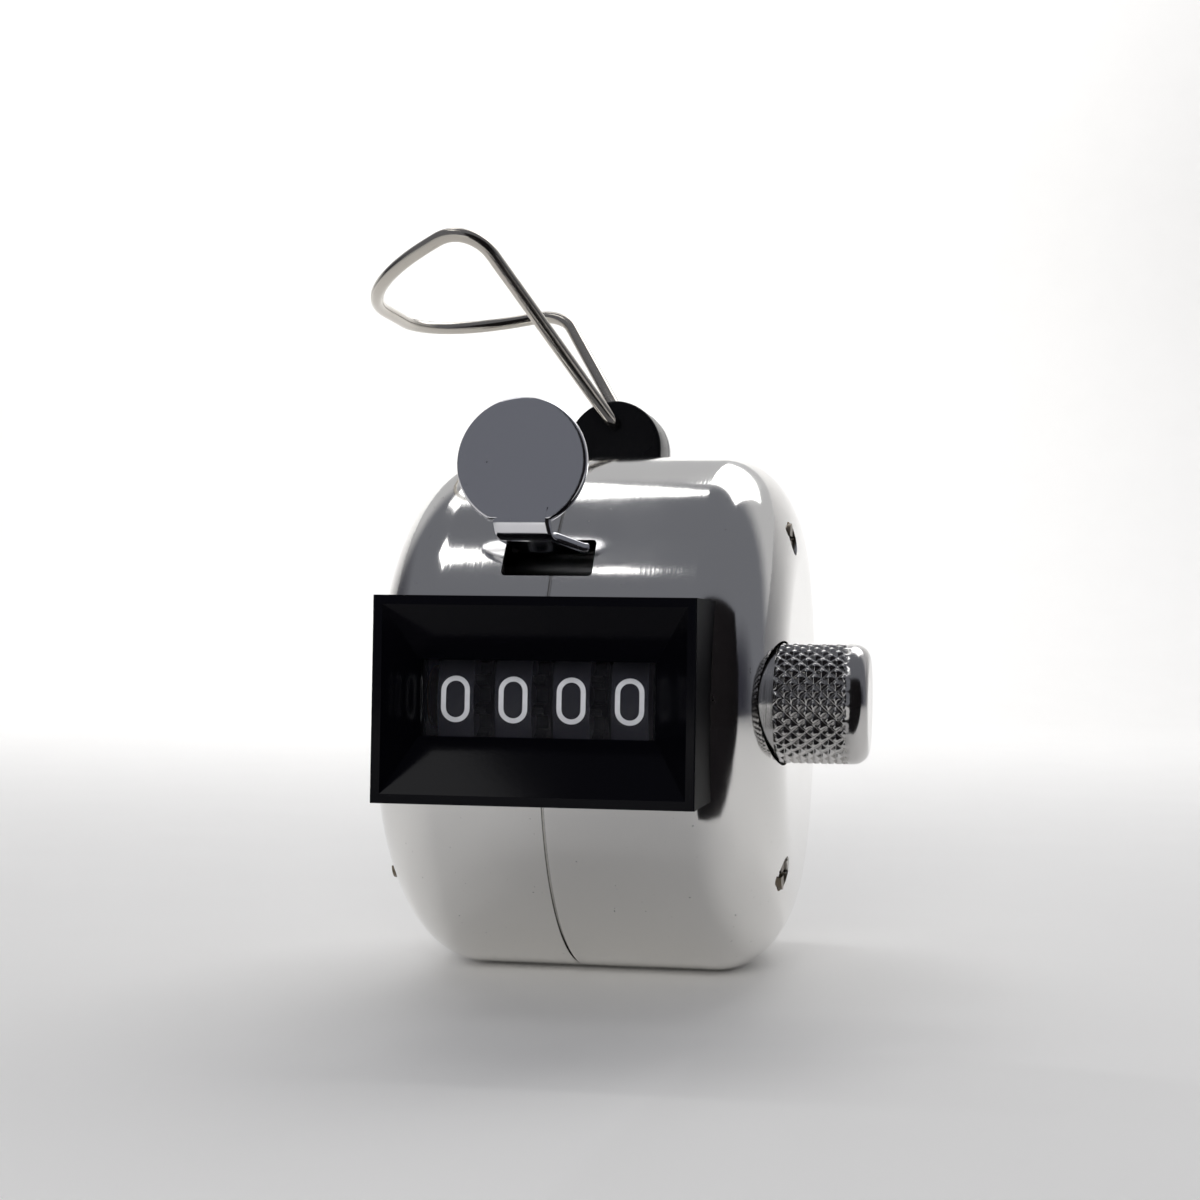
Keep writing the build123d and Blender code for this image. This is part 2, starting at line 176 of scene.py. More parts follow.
def noise(place, scale, detail=2.0, stretch=(1.0, 1.0, 1.0)):
    """Noise of this many features per metre, stretched along the axes."""
    moved = place.node("ShaderNodeMapping", {}, {"Vector": place, "Scale": stretch})
    return place.node("ShaderNodeTexNoise", {}, {"Vector": moved, "Scale": scale, "Detail": detail})


def bump(height, strength, distance, under=None):
    """A normal tilted by a height pattern, on top of another one if that is given."""
    inputs = {"Height": height, "Strength": strength, "Distance": distance}
    if under is not None:
        inputs["Normal"] = under
    return height.node("ShaderNodeBump", {}, inputs)


def table_paper():
    """Matt white paper with the faintest mottling."""
    material, place = start_material("table_paper")
    tint = noise(place, 60.0).mix((0.93, 0.92, 0.90, 1), (0.95, 0.94, 0.92, 1))
    return surface(material, place, {"Base Color": tint, "Roughness": 0.75})


def grid_faces(rows, columns, wrapped=False):
    """The quads of a grid of points: each joins its neighbours in both directions. A wrapped grid's last
    column joins its first."""
    i, j = np.meshgrid(np.arange(rows - 1), np.arange(columns - (not wrapped)), indexing="ij")
    down, along = i + 1, (j + 1) % columns
    quads = [i * columns + j, i * columns + along, down * columns + along, down * columns + j]
    return np.stack(quads, axis=-1).reshape(-1, 4)


def paper_sweep():
    """The paper's points: flat on the table, then y = a - r + r sin t and z = r - r cos t for a quarter
    turn of t, then straight up."""
    reach, wall_y, wall_top, bend_r = 1.6, 0.75, 0.40, 0.22
    bend = np.linspace(0.0, 0.5 * math.pi, 13)
    y = np.concatenate([[-reach], wall_y - bend_r + bend_r * np.sin(bend), [wall_y]])
    z = np.concatenate([[0.0], bend_r * (1 - np.cos(bend)), [wall_top]]) + floor_z
    x = np.broadcast_to([-reach, reach], (len(y), 2))
    return np.stack([x, np.repeat(y[:, None], 2, 1), np.repeat(z[:, None], 2, 1)], axis=-1)


floor_z = -drum_r
floor_points = paper_sweep()
floor = place_mesh("floor", floor_points.reshape(-1, 3), grid_faces(len(floor_points), 2))
floor.data.materials.append(table_paper())
floor.data.shade_smooth()
floor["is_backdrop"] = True


def card_black():
    """Dull black card, a little paler where it is rubbed."""
    material, place = start_material("card_black")
    tint = noise(place, 40.0).mix((0.010, 0.009, 0.010, 1), (0.016, 0.014, 0.015, 1))
    return surface(material, place, {"Base Color": tint, "Roughness": 0.9, "Specular IOR Level": 0.0})


# The card lies in front of the right shoulder and stands up behind the camera. Only mirrors see it.
card_foot = floor_z + 0.1 * MM
card_left, card_right = (12 * MM, -222 * MM), (777 * MM, -222 * MM)
card_points = [(30.5 * MM, -36 * MM, card_foot), (*card_left, card_foot), (*card_right, card_foot),
               (46 * MM, -32 * MM, card_foot), (*card_left, 240 * MM), (*card_right, 500 * MM)]
flag = place_mesh("flag", card_points, [(0, 1, 2, 3), (1, 4, 5, 2)])
flag.data.materials.append(card_black())
flag.visible_camera = False
flag.visible_diffuse = False
flag.visible_shadow = False
flag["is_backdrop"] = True


def soft_box(name, place, size, power):
    """A rectangular area light at a place, facing the counter."""
    light = bpy.data.lights.new(name, "AREA")
    light.shape = "RECTANGLE"
    light.size, light.size_y = size
    light.energy = power
    lamp = bpy.data.objects.new(name, light)
    bpy.context.scene.collection.objects.link(lamp)
    middle = Vector((17 * MM, 0.0, 0.0))
    aim = (middle - Vector(place)).to_track_quat("-Z", "Y")
    lamp.matrix_world = Matrix.Translation(Vector(place)) @ aim.to_matrix().to_4x4()
    return lamp


soft_box("overhead_box", (-0.150, 0.195, 0.50), (0.20, 0.145), 0.19)
soft_box("rear_right_box", (0.135, 0.42, 0.50), (0.36, 0.32), 0.85)
soft_box("left_strip", (-0.180, -0.155, 0.50), (0.15, 0.09), 0.09)
soft_box("slit", (-0.084, -0.25, 0.50), (0.022, 0.030), 0.006)
wash_place = (-0.25, 0.30, 0.60)
wash_tilt = Matrix.Rotation(math.radians(55.0), 4, "X")
backdrop_wash = soft_box("backdrop_wash", wash_place, (0.7, 0.2), 4.2)
backdrop_wash.matrix_world = Matrix.Translation(wash_place) @ wash_tilt
backdrop_wash.visible_glossy = False
window_fill = soft_box("window_fill", (0.06, -0.55, 0.16), (0.30, 0.20), 1.8)
window_fill.visible_glossy = False

world = bpy.data.worlds.new("room")
bpy.context.scene.world = world
world.use_nodes = True
world.node_tree.nodes.clear()
room = Socket(world.node_tree, None).node("ShaderNodeTexCoord", {}, {}, output="Generated")
room_y = room.node("ShaderNodeSeparateXYZ", {}, {"Vector": room}, output="Y")
dim_front, light_back = (0.16, 0.165, 0.185, 1), (0.52, 0.52, 0.53, 1)
room_colour = room_y.step(0.40, 0.62).mix(dim_front, light_back)
for direction, spread, shade in (((-0.93, 0.36, 0.0), 0.82, (0.05, 0.05, 0.06, 1)),
                                 ((0.96, -0.27, 0.05), 0.88, (0.03, 0.03, 0.04, 1))):
    towards = room.node("ShaderNodeVectorMath", {"operation": "DOT_PRODUCT"},
                        {0: room, 1: direction}, output="Value")
    room_colour = towards.step(spread, 1.0).mix(room_colour, shade)
room_shader = room.node("ShaderNodeBackground", {}, {"Color": room_colour, "Strength": 1.0})
room_out = world.node_tree.nodes.new("ShaderNodeOutputWorld")
world.node_tree.links.new(room_shader.socket, room_out.inputs["Surface"])
bpy.context.scene.view_settings.view_transform = "Standard"


# ======================================================================================
# Drum shells: two deep-drawn cups of thin steel, chrome plated, that meet edge to edge.
# A lip inside the left one slips under the right one; posts and side screws hold both.
# ======================================================================================
case_width = 34.0 * MM
shoulder_axial = 6.8 * MM
shoulder_radial = 9.1 * MM
flat_r = drum_r - shoulder_radial
barrel_start = shoulder_axial + 0.8 * MM
shell_wall = 0.6 * MM
seam_x = 15.6 * MM
seam_round = 0.18 * MM
seam_gap = 0.08 * MM
lip_reach = 2.4 * MM
shaft_y, shaft_z = -14.5 * MM, 1.3 * MM
recess_r = 5.0 * MM
slot_low, slot_high = (11.5 * MM, 11.2 * MM), (18.9 * MM, 14.2 * MM)
opening_low, opening_high = (6.3 * MM, -4.9 * MM), (25.6 * MM, 7.5 * MM)
screw_hole_r = 1.42 * MM
screw_hole_depth = 1.6 * MM
side_screw_places = [(-6.5 * MM, 15.0 * MM), (-10.3 * MM, -12.9 * MM)]


def shoulder_profile(inset, steps):
    """Left half of the drum's outline in (x, r), from the axis over an elliptical shoulder to the barrel:
    the flat face, then x = a - a cos t and r = f + b sin t for a quarter turn of t."""
    quarter = np.linspace(0.0, 0.5 * math.pi, steps)
    axial = shoulder_axial - inset
    radial = shoulder_radial - inset
    flat = np.stack([np.full(13, inset), np.linspace(0.0, flat_r, 14)[:-1]], axis=-1)
    curve = np.stack([inset + axial * (1 - np.cos(quarter)), flat_r + radial * np.sin(quarter)], axis=-1)
    return np.concatenate([flat, curve])


def straight(start, end, steps):
    """Evenly spaced (x, r) points from start up to, but not at, end."""
    return np.array(start) + np.linspace(0.0, 1.0, steps + 1)[:-1, None] * (np.array(end) - np.array(start))


def arc_points(centre, radius, start, end, steps=5):
    """An arc about a centre in a plane, between two angles from its first axis towards its second."""
    turn = np.linspace(start, end, steps)
    return np.array(centre) + radius * np.stack([np.cos(turn), np.sin(turn)], axis=-1)


def tidy(piece, angle=35.0):
    """Merges doubled points at poles and seams, turns every face outwards and marks the edges that are
    sharper than angle."""
    mesh = bmesh.new()
    mesh.from_mesh(piece.data)
    bmesh.ops.remove_doubles(mesh, verts=mesh.verts, dist=1e-7)
    bmesh.ops.dissolve_degenerate(mesh, edges=mesh.edges, dist=1e-8)
    bmesh.ops.recalc_face_normals(mesh, faces=mesh.faces)
    mesh.to_mesh(piece.data)
    mesh.free()
    piece.data.shade_smooth()
    piece.data.set_sharp_from_angle(angle=math.radians(angle))
    return piece


def turned_piece(name, profile, steps):
    """A solid of revolution about the drum's axis. The profile in (x, r) starts and ends on the axis, and
    each of its points goes to y = r cos t and z = r sin t."""
    turn = np.linspace(0.0, 2 * math.pi, steps, endpoint=False)
    x = np.broadcast_to(profile[:, :1], (len(profile), steps))
    points = np.stack([x, profile[:, 1:] * np.cos(turn), profile[:, 1:] * np.sin(turn)], axis=-1)
    return tidy(place_mesh(name, points.reshape(-1, 3), grid_faces(len(profile), steps, True)))


outer_left = shoulder_profile(0.0, 25)
inner_left = shoulder_profile(shell_wall, 17)[::-1]
left_edge = arc_points((seam_x - seam_gap - seam_round, drum_r - seam_round), seam_round,
                       0.5 * math.pi, 0.0)
wall_r, lip_r = drum_r - shell_wall, drum_r - 2 * shell_wall
lip_profile = [(seam_x - seam_gap, wall_r), (seam_x + lip_reach, wall_r), (seam_x + lip_reach, lip_r),
               (seam_x - lip_reach, lip_r), (seam_x - lip_reach, wall_r)]
left_profile = np.concatenate([outer_left, straight((barrel_start, drum_r), left_edge[0], 12), left_edge,
                               lip_profile, inner_left])
left_shell = turned_piece("left_shell_plated", left_profile, 288)

mirror = np.array([-1.0, 1.0])
outer_right = shoulder_profile(0.0, 25) * mirror + (case_width, 0.0)
inner_right = shoulder_profile(shell_wall, 17)[::-1] * mirror + (case_width, 0.0)
right_edge = arc_points((seam_x + seam_gap + seam_round, drum_r - seam_round), seam_round,
                        0.5 * math.pi, math.pi)
right_barrel = straight((case_width - barrel_start, drum_r), right_edge[0], 14)
right_profile = np.concatenate([outer_right, right_barrel, right_edge, [(seam_x + seam_gap, wall_r)],
                                inner_right])
right_shell = turned_piece("right_shell_plated", right_profile, 288)


def rounded_rectangle(low, high, radius, steps=6):
    """Corners of a rectangle as quarter arcs, anticlockwise from the right-hand side."""
    centres = [(high[0] - radius, high[1] - radius), (low[0] + radius, high[1] - radius),
               (low[0] + radius, low[1] + radius), (high[0] - radius, low[1] + radius)]
    return np.concatenate([arc_points(centre, radius, k * math.pi / 2, (k + 1) * math.pi / 2, steps)
                           for k, centre in enumerate(centres)])


def prism(name, outline, low, high, axis):
    """A solid with this outline, from low to high along axis 0 or 1; the outline is in the other two."""
    n = len(outline)
    points = np.zeros((2 * n, 3))
    rest = [k for k in range(3) if k != axis]
    points[:n, axis], points[n:, axis] = low, high
    points[:, rest] = np.concatenate([outline, outline])
    sides = grid_faces(2, n, True).tolist()
    return tidy(place_mesh(name, points, sides + [list(range(n)), list(range(2 * n - 1, n - 1, -1))]), 30.0)


def cut_out(piece, *cutters):
    """Removes the cutters' volumes from the piece and the cutters from the scene."""
    for cutter in cutters:
        cut = piece.modifiers.new("cut", "BOOLEAN")
        cut.operation, cut.solver, cut.object = "DIFFERENCE", "EXACT", cutter
    bpy.context.view_layer.update()
    result = bpy.data.meshes.new_from_object(piece.evaluated_get(bpy.context.evaluated_depsgraph_get()))
    piece.modifiers.clear()
    piece.data = result
    for cutter in cutters:
        bpy.data.objects.remove(cutter)


def true_normals(mesh):
    """Gives the drum's outside its exact normals: radial on the barrel, along X on the flats and the
    ellipse's gradient on the shoulders, so that no cut disturbs a reflection."""
    loops = len(mesh.loops)
    vertex = np.zeros(loops, int)
    mesh.loops.foreach_get("vertex_index", vertex)
    points = np.zeros(len(mesh.vertices) * 3)
    mesh.vertices.foreach_get("co", points)
    points = points.reshape(-1, 3)[vertex]
    face_normal = np.zeros(len(mesh.polygons) * 3)
    mesh.polygons.foreach_get("normal", face_normal)
    counts = np.zeros(len(mesh.polygons), int)
    mesh.polygons.foreach_get("loop_total", counts)
    face_normal = np.repeat(face_normal.reshape(-1, 3), counts, axis=0)
    r = np.hypot(points[:, 1], points[:, 2])
    side = np.where(points[:, 0] < case_width / 2, -1.0, 1.0)
    from_edge = np.where(side < 0, points[:, 0], case_width - points[:, 0])
    axial = np.clip((shoulder_axial - from_edge) / shoulder_axial, 0.0, 1.0)
    radial = np.clip((r - flat_r) / shoulder_radial, 0.0, 1.0)
    level = axial ** 2 + radial ** 2
    outward_r = np.where(r > flat_r, radial / shoulder_radial, 0.0)
    outward_x = side * np.where(from_edge < shoulder_axial, axial / shoulder_axial, 0.0)
    unit = points[:, 1:] / np.maximum(r, 1e-9)[:, None]
    normal = np.concatenate([outward_x[:, None], unit * outward_r[:, None]], axis=1)
    normal /= np.maximum(np.linalg.norm(normal, axis=1), 1e-12)[:, None]
    on_outline = np.abs(level - 1.0) < 0.004
    outside = on_outline & ((normal * face_normal).sum(axis=1) > 0.9)
    normal[~outside] = 0.0
    mesh.normals_split_custom_set(normal.tolist())


def round_outline(y, z, radius):
    """A circle about (y, z)."""
    return arc_points((y, z), radius, 0.0, 2 * math.pi, 65)[:-1]


clear = 1.0 * MM
slot_outline = rounded_rectangle(slot_low, slot_high, 0.35 * MM)
opening_outline = rounded_rectangle(opening_low, opening_high, 0.3 * MM)
for shell in (left_shell, right_shell):
    cutters = [prism("slot_cutter", slot_outline, -25 * MM, -14 * MM, 1),
               prism("opening_cutter", opening_outline, -25 * MM, -18 * MM, 1)]
    hole = (-clear, screw_hole_depth)
    if shell is right_shell:
        hole = (case_width - screw_hole_depth, case_width + clear)
    for number, (y, z) in enumerate(side_screw_places):
        cutters.append(prism(f"screw_cutter_{number}", round_outline(y, z, screw_hole_r), *hole, 0))
    if shell is right_shell:
        cutters.append(prism("recess_cutter", round_outline(shaft_y, shaft_z, recess_r), 29 * MM, 36 * MM, 0))
    cut_out(shell, *cutters)
    shell.data.shade_smooth()
    shell.data.set_sharp_from_angle(angle=math.radians(35.0))
    true_normals(shell.data)


def chrome(name, colour, dull, peel, wear):
    """Bright plate: a mirror with fine scratches, cloudy fingerprints and dark specks. The roughness is
    dull, and peel and wear say how much the ripple and the scratches show."""
    material, place = start_material(name)
    cloud = noise(place, 160.0, 3.0)
    scratch = noise(place, 1.0, 3.0, (3200.0, 260.0, 260.0))
    ripple = noise(place, 420.0, 2.0)
    speck = noise(place, 2600.0, 1.0).step(0.76, 0.82)
    normal = bump(ripple, peel, 0.00004)
    normal = bump(scratch, wear, 0.00002, normal)
    tint = speck.mix((*colour, 1), tuple(0.55 * c for c in colour) + (1,))
    return surface(material, place, {"Base Color": tint, "Metallic": 1.0,
                                     "Roughness": dull + cloud.step(0.45, 0.75) * 0.06 + speck * 0.2,
                                     "Normal": normal})


shell_chrome = chrome("shell_chrome", (0.82, 0.81, 0.79), 0.09, 0.22, 0.2)
for shell, node in ((left_shell, "left_shell"), (right_shell, "right_shell")):
    shell.data.materials.clear()
    shell.data.materials.append(shell_chrome)
    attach(shell, "casing")
    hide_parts(node)


# ======================================================================================
# Side screws: slotted steel with cheese heads, two to a side, sunk in the shoulders. They
# go into the posts on the chassis plates and hold the shells on. The plating has dulled.
# ======================================================================================
screw_plate = chrome("screw_plate", (0.20, 0.17, 0.13), 0.38, 0.2, 0.5)
for node in ("left_side_screws", "right_side_screws"):
    frame["nodes"][node].data.materials.clear()
    frame["nodes"][node].data.materials.append(screw_plate)


# ======================================================================================
# Window frame: one moulding in gloss black, a funnel of four slopes down to the window.
# It sits on the front of both shells and covers the opening that the wheels stand in.
# ======================================================================================
def bevelled_copy(name, node, width):
    """The CAD node's own shape with its triangles joined into flat faces and its edges rounded."""
    piece = bpy.data.objects.new(name, frame["nodes"][node].data.copy())
    bpy.context.scene.collection.objects.link(piece)
    if "custom_normal" in piece.data.attributes:
        piece.data.attributes.remove(piece.data.attributes["custom_normal"])
    mesh = bmesh.new()
    mesh.from_mesh(piece.data)
    bmesh.ops.remove_doubles(mesh, verts=mesh.verts, dist=1e-6)
    bmesh.ops.dissolve_limit(mesh, angle_limit=math.radians(1.0), verts=mesh.verts, edges=mesh.edges)
    bmesh.ops.recalc_face_normals(mesh, faces=mesh.faces)
    mesh.to_mesh(piece.data)
    mesh.free()
    piece.data.shade_smooth()
    round_edges = piece.modifiers.new("round_edges", "BEVEL")
    round_edges.limit_method = "ANGLE"
    round_edges.angle_limit = math.radians(30.0)
    round_edges.width = width
    round_edges.segments = 3
    round_edges.harden_normals = True
    return piece


def frame_black():
    """Gloss black moulding, polished in the funnel and on the front, duller on the two outer side walls."""
    material, place = start_material("frame_black")
    along = place.node("ShaderNodeSeparateXYZ", {}, {"Vector": place}, output="X")
    wall = abs(along - frame_middle_x).step(frame_half - 0.15 * MM, frame_half - 0.02 * MM)
    flow = noise(place, 90.0, 3.0)
    fine = noise(place, 2600.0, 2.0)
    tint = flow.mix((0.0010, 0.0010, 0.0018, 1), (0.0018, 0.0018, 0.0030, 1))
    return surface(material, place, {"Base Color": tint, "Roughness": 0.07 + flow * 0.05 + wall * 0.45,
                                     "Specular IOR Level": 0.08, "Normal": bump(fine, 0.05, 0.00003)})


frame_low, frame_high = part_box("window_bezel")
frame_middle_x = (frame_low.x + frame_high.x) / 2
frame_half = (frame_high.x - frame_low.x) / 2
window_frame = bevelled_copy("window_frame_moulded", "window_bezel", 0.12 * MM)
window_frame.data.materials.clear()
window_frame.data.materials.append(frame_black())
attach(window_frame, "casing")
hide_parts("window_bezel")


# ======================================================================================
# Window lens: a clear acrylic strip, glued in behind the funnel so that no dust or finger
# reaches the wheels.
# ======================================================================================
def clear_acrylic():
    """Clear sheet with a trace of dust; mostly let through, lightly mirrored."""
    material, place = start_material("clear_acrylic")
    dust = noise(place, 700.0, 2.0).step(0.55, 0.8)
    material.surface_render_method = "BLENDED"
    return surface(material, place, {"Base Color": (0.05, 0.05, 0.06, 1), "Roughness": 0.04 + dust * 0.1,
                                     "Alpha": 0.05 + dust * 0.02})


frame["nodes"]["window_lens"].data.materials.clear()
frame["nodes"]["window_lens"].data.materials.append(clear_acrylic())


# ======================================================================================
# Number wheels: black mouldings on the reset shaft, each with a smooth band for its
# numerals, a gear on its right and a transfer lug on its left.
# ======================================================================================
wheel_names = ["thousands", "hundreds", "tens", "units"]
wheel_r = 8.3 * MM
wheel_pitch = 4.6 * MM
first_band_x = 8.9 * MM


def wheel_plastic():
    """Satin black on the numeral bands; the recessed gears and lugs between them are duller and painted
    darker as shade.
    A point is on a band where its place along the shaft is within half a band of a band's middle."""
    material, place = start_material("wheel_black")
    along = place.node("ShaderNodeSeparateXYZ", {}, {"Vector": place}, output="X")
    step = (along - first_band_x) * (1.0 / wheel_pitch)
    gap_dull_and_shade = abs(step - round(step)).step(0.315, 0.325)
    fine = noise(place, 2200.0, 2.0)
    cloud = noise(place, 140.0, 2.0)
    band = cloud.mix((0.010, 0.010, 0.014, 1), (0.019, 0.019, 0.026, 1))
    # painted shade: away from the bands the colour falls to near black to stand for the shadow in the
    # recesses between wheels
    return surface(material, place, {"Base Color": gap_dull_and_shade.mix(band, (0.0015, 0.0015, 0.002, 1)),
                                     "Roughness": 0.34 + gap_dull_and_shade * 0.25, "Specular IOR Level": 0.25,
                                     "Normal": bump(fine, 0.12, 0.00003)})


wheel_black = wheel_plastic()
for name in wheel_names:
    wheel = frame["nodes"][f"{name}_wheel"]
    wheel.data.materials.clear()
    wheel.data.materials.append(wheel_black)


# ======================================================================================
# Numerals: filled with off-white paint in shallow relief, ten to a wheel, a tenth of a
# turn apart. The next higher numeral comes up from below.
# ======================================================================================
stroke = 0.39 * MM
half_w = 0.95 * MM
half_h = 1.63 * MM
relief = 0.03 * MM
reading_turn = math.radians(0.8)


def arc(cx, cy, rx, ry, start, end, steps=17):
    """Part of an ellipse about (cx, cy), between two angles in degrees, as numeral-plane points."""
    turn = np.radians(np.linspace(start, end, steps))
    return np.stack([cx + rx * np.cos(turn), cy + ry * np.sin(turn)], axis=-1)


def numeral_strokes(value):
    """Centre lines of a plain round-cornered numeral: straight runs and arcs in its own plane."""
    w, h = half_w, half_h
    low, high = h - w, h - 0.86 * w
    shapes = {
        0: [np.concatenate([arc(0, low, w, w, 0, 180), arc(0, -low, w, w, 180, 360), [(w, low)]])],
        1: [np.array([(-0.5 * w, h - 0.45 * w), (0.1 * w, h), (0.1 * w, -h)])],
        2: [np.concatenate([arc(0, low, w, w, 165, -25), [(-w, -h), (w, -h)]])],
        3: [np.concatenate([arc(0, high, 0.86 * w, 0.86 * w, 150, -90), [(0, 0.0)]]),
            arc(0, -h + w - 0.03 * MM, w, 0.97 * w, 90, -150)],
        4: [np.array([(0.45 * w, -h), (0.45 * w, h), (-w, -0.35 * h), (w, -0.35 * h)])],
        5: [np.concatenate([[(0.85 * w, h), (-0.8 * w, h), (-0.85 * w, 0.12 * h)],
                            arc(0, -h + w, w, w, 125, -150)])],
        6: [np.concatenate([arc(0.35 * w, 0.1 * h, 1.35 * w, 0.9 * h, 80, 160), [(-w, -h + w)],
                            arc(0, -h + w, w, w, 180, 540)])],
        7: [np.array([(-w, h), (w, h), (-0.15 * w, -h)])],
        8: [arc(0, high, 0.84 * w, 0.86 * w, -90, 270),
            arc(0, -h + w - 0.02 * MM, w, 0.98 * w, -270, 90)],
    }
    shapes[9] = [-line for line in shapes[6]]
    return shapes[value]


def painted_line(line, x, turn):
    """A flat bar of constant width along a numeral's line, wrapped on the wheel: a point (u, v) goes to
    x + u and to the angle v / r past the numeral's own."""
    run = np.gradient(line, axis=0)
    run /= np.linalg.norm(run, axis=1)[:, None]
    across = np.stack([-run[:, 1], run[:, 0]], axis=-1) * stroke / 2
    corner = np.stack([line + across, line + across, line - across, line - across], axis=1)
    height = np.array([-relief, relief, relief, -relief])
    angle = corner[..., 1] / wheel_r + turn
    r = wheel_r + height
    return np.stack([x + corner[..., 0], shaft_y - r * np.cos(angle), shaft_z + r * np.sin(angle)], axis=-1)


def numerals(name, x):
    """All ten numerals of one wheel as one mesh."""
    points, faces, base = [], [], 0
    for value in range(10):
        for line in numeral_strokes(value):
            bar = painted_line(line, x, reading_turn - math.radians(36.0) * value)
            sides = grid_faces(len(bar), 4, True)
            ends = np.array([[3, 2, 1, 0], [4 * len(bar) - 4 + k for k in range(4)]])
            points.append(bar.reshape(-1, 3))
            faces.append(np.concatenate([sides, ends]) + base)
            base += 4 * len(bar)
    return tidy(place_mesh(name, np.concatenate(points), np.concatenate(faces)), 40.0)


def numeral_paint():
    """Off-white enamel, a little uneven where it was wiped into the wheel."""
    material, place = start_material("numeral_paint")
    worn = noise(place, 1400.0, 3.0)
    return surface(material, place, {"Base Color": worn.mix((0.62, 0.63, 0.66, 1), (0.86, 0.87, 0.90, 1)),
                                     "Roughness": 0.5 - worn * 0.1, "Normal": bump(worn, 0.2, 0.00002)})


white_paint = numeral_paint()
for count, name in enumerate(wheel_names):
    painted = numerals(f"{name}_numerals", first_band_x + wheel_pitch * count)
    painted.data.materials.append(white_paint)
    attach(painted, f"{name}_wheel")


# ======================================================================================
# Reset knob: turned brass, knurled in diamonds and plated, with a smooth rounded rim and
# a neck that reaches through the right shell to the shaft, where a pin holds it.
# ======================================================================================
knob_r = 4.8 * MM
knob_inner, knob_outer = 33.35 * MM, 40.75 * MM
knurl_end = 39.1 * MM
neck_r = 4.6 * MM
neck_inner = 31.6 * MM
knurl_count = 26
knurl_depth = 0.30 * MM


def knurled_knob():
    """Knob surface on a grid of distance along the outline and turn about the shaft. Between the knurl's
    ends r = R - d max(groove(n t + k x), groove(n t - k x)), where groove is a V that repeats."""
    rim, bevel = 1.3 * MM, 0.25 * MM
    rows, steps = 84, 480
    knurl_x = np.linspace(knob_inner + bevel, knurl_end, rows)
    profile = np.concatenate([
        straight((neck_inner, 0.0), (neck_inner, neck_r), 4),
        straight((neck_inner, neck_r), (knob_inner, neck_r), 6),
        straight((knob_inner, neck_r), (knob_inner, knob_r - bevel), 3),
        np.stack([knurl_x, np.full(rows, knob_r)], axis=-1),
        arc_points((knob_outer - rim, knob_r - rim), rim, 0.5 * math.pi, 0.0, 12),
        straight((knob_outer, knob_r - rim - 0.2 * MM), (knob_outer, 0.0), 8), [(knob_outer, 0.0)]])
    turn = np.linspace(0.0, 2 * math.pi, steps, endpoint=False)
    x, r = profile[:, :1], profile[:, 1:]
    lean = knurl_count / knob_r
    phase_a = (knurl_count * turn + lean * x) / (2 * math.pi)
    phase_b = (knurl_count * turn - lean * x) / (2 * math.pi)
    groove = np.maximum(np.abs(phase_a % 1.0 - 0.5), np.abs(phase_b % 1.0 - 0.5)) * 2.0
    ends = np.clip((x - knob_inner) / (0.35 * MM), 0, 1) * np.clip((knurl_end - x) / (0.3 * MM), 0, 1)
    knurled = (r > knob_r - 1e-6) * ends
    r = r - knurl_depth * knurled * np.clip(groove * 1.5 - 0.5, 0.0, 1.0)
    y, z = shaft_y + r * np.cos(turn), shaft_z + r * np.sin(turn)
    points = np.stack([np.broadcast_to(x, r.shape), y, z], axis=-1).reshape(-1, 3)
    return tidy(place_mesh("reset_knob_knurled", points, grid_faces(len(profile), steps, True)), 60.0)


knob = knurled_knob()
knob.data.materials.append(chrome("knob_plate", (0.62, 0.61, 0.60), 0.15, 0.2, 0.3))
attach(knob, "reset_knob")
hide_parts("reset_knob")


# ======================================================================================
# Thumb lever: one steel stamping, plated. The round pad is dished and its rim rolled; the
# tongue bends back through the slot to the sleeve that turns on the lever axle.
# ======================================================================================
pad_r = 5.33 * MM
pad_x, pad_z = 13.16 * MM, 20.2 * MM
pad_lean = math.radians(6.0)
sheet_t = 0.9 * MM
chord_drop = 4.72 * MM
bend_y, bend_z = -20.15 * MM, 14.40 * MM


def pad_disc():
    """Dished disc on a polar grid, cut by a chord at the bottom. The outline is min(R, drop / -sin t). The
    front falls from a rounded rim to a bowl of depth b (1 - (rho / (R - rim))^2); the back is flat."""
    steps = 160
    rim_width, bowl_depth = 0.75 * MM, 0.16 * MM
    turn = np.linspace(0.0, 2 * math.pi, steps, endpoint=False)
    down = np.maximum(-np.sin(turn), 1e-6)
    reach = np.minimum(pad_r, chord_drop / down)
    round_r = 0.22 * MM
    roll_turn = np.linspace(0.5 * math.pi, -0.5 * math.pi, 11)
    inward = np.concatenate([np.linspace(0.0, 1.0, 22)[:-1], np.ones(11), np.linspace(1.0, 0.0, 12)[1:]])
    edge_in = np.concatenate([np.zeros(21), round_r * np.cos(roll_turn), np.zeros(11)])
    height = np.concatenate([np.full(21, 0.5), 0.5 * np.sin(roll_turn), np.full(11, -0.5)])
    rho = inward[:, None] * (reach - round_r) + edge_in[:, None]
    bowl = bowl_depth * (1 - np.clip(rho / (pad_r - rim_width), 0, 1) ** 2)
    front = height[:, None] * sheet_t - np.where(height[:, None] > 0.49, bowl, 0.0)
    right_of, above = rho * np.cos(turn), rho * np.sin(turn)
    mid_y = bend_y + (pad_z - bend_z) * math.sin(pad_lean)
    x = pad_x + right_of
    y = mid_y + above * math.sin(pad_lean) - front * math.cos(pad_lean)
    z = pad_z + above * math.cos(pad_lean) + front * math.sin(pad_lean)
    points = np.stack([x, y, z], axis=-1).reshape(-1, 3)
    return points, grid_faces(len(inward), steps, True)


